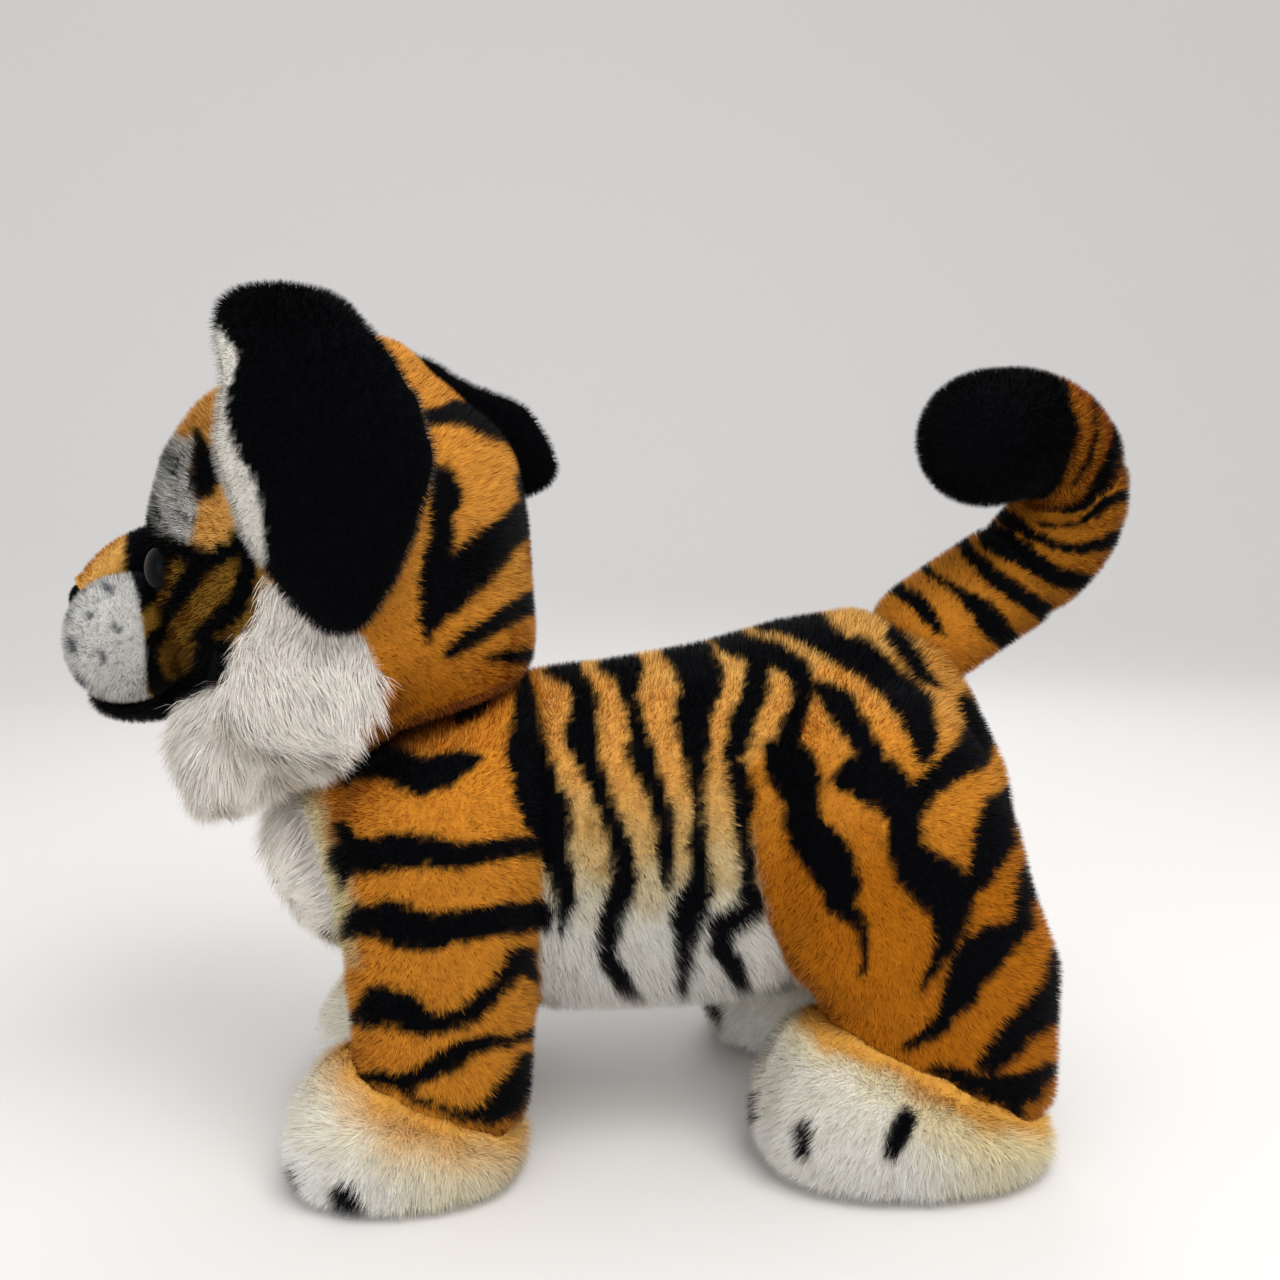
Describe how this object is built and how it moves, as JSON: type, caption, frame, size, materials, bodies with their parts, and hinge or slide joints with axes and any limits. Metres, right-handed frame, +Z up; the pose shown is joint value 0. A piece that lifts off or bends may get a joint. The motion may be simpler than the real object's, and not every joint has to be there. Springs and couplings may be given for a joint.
{
  "type": "plush toy tiger",
  "caption": "Standing stuffed plush tiger with a turning head, floppy hinged ears, a bendable curled tail, pile-covered legs and padded paws.",
  "frame": {"origin": "on the floor, below the middle of the toy's box", "axes": "+X from the nose towards the tail, +Y towards the tiger's right side, +Z up"},
  "size_m": [0.4894, 0.2278, 0.3678],
  "materials": {
    "orange_pile": "short velvety pile, orange with printed or sewn black stripes",
    "black_pile": "short black pile",
    "white_pile": "long white pile",
    "cream_pile": "cream pile",
    "stuffing": "loose polyester fibre",
    "clear_plastic": "moulded, plain",
    "eye_gloss": "glossy black dome",
    "steel_wire": "soft annealed wire"
  },
  "bodies": {
    "body": {"trunk_cover": "orange_pile", "belly_panel": "white_pile", "chest_bib": "white_pile", "trunk_filling": "stuffing", "neck_washer": "clear_plastic", "front_left_sleeve": "orange_pile", "front_left_paw": "cream_pile", "front_left_sole": "cream_pile", "front_left_filling": "stuffing", "front_right_sleeve": "orange_pile", "front_right_paw": "cream_pile", "front_right_sole": "cream_pile", "front_right_filling": "stuffing", "rear_left_sleeve": "orange_pile", "rear_left_paw": "cream_pile", "rear_left_sole": "cream_pile", "rear_left_filling": "stuffing", "rear_right_sleeve": "orange_pile", "rear_right_paw": "cream_pile", "rear_right_sole": "cream_pile", "rear_right_filling": "stuffing"},
    "head": {"head_cover": "orange_pile", "head_filling": "stuffing", "muzzle_left": "white_pile", "muzzle_right": "white_pile", "nose_bridge": "orange_pile", "nose": "black_pile", "chin": "black_pile", "eye_left": "eye_gloss", "eye_right": "eye_gloss", "eye_washer_left": "clear_plastic", "eye_washer_right": "clear_plastic", "cheek_ruff_left": "white_pile", "cheek_ruff_right": "white_pile", "throat_ruff": "white_pile", "neck_disc": "clear_plastic", "neck_locknut": "clear_plastic"},
    "ear_left": {"ear_left_back": "black_pile", "ear_left_lining": "white_pile"},
    "ear_right": {"ear_right_back": "black_pile", "ear_right_lining": "white_pile"},
    "tail_base": {"tail_base_cover": "orange_pile", "tail_base_filling": "stuffing", "tail_base_wire": "steel_wire"},
    "tail_curl": {"tail_curl_cover": "orange_pile", "tail_curl_filling": "stuffing", "tail_curl_wire": "steel_wire"},
    "tail_tip": {"tail_tip_cover": "black_pile", "tail_tip_filling": "stuffing", "tail_tip_wire": "steel_wire"}
  },
  "joints": [
    {"name": "head_turn", "type": "hinge", "parent": "body", "child": "head", "pos_m": [-0.0905, 0, 0.19], "axis": [-0.3746, 0, 0.9272], "range_deg": [-90, 90]},
    {"name": "ear_left_lift", "type": "hinge", "parent": "head", "child": "ear_left", "pos_m": [-0.1245, -0.054, 0.3445], "axis": [-1, 0, 0], "range_deg": [0, 60]},
    {"name": "ear_right_lift", "type": "hinge", "parent": "head", "child": "ear_right", "pos_m": [-0.1245, 0.054, 0.3445], "axis": [1, 0, 0], "range_deg": [0, 60]},
    {"name": "tail_root", "type": "hinge", "parent": "body", "child": "tail_base", "pos_m": [0.1525, 0, 0.226], "axis": [0, 1, 0], "range_deg": [-15, 15]},
    {"name": "tail_bend", "type": "hinge", "parent": "tail_base", "child": "tail_curl", "pos_m": [0.2059, 0, 0.262], "axis": [0.0617, 0.9963, 0.0606], "range_deg": [-15, 15]},
    {"name": "tail_tip_bend", "type": "hinge", "parent": "tail_curl", "child": "tail_tip", "pos_m": [0.2125, -0.015, 0.3091], "axis": [-0.2882, 0.8938, 0.3436], "range_deg": [-15, 15]}
  ]
}
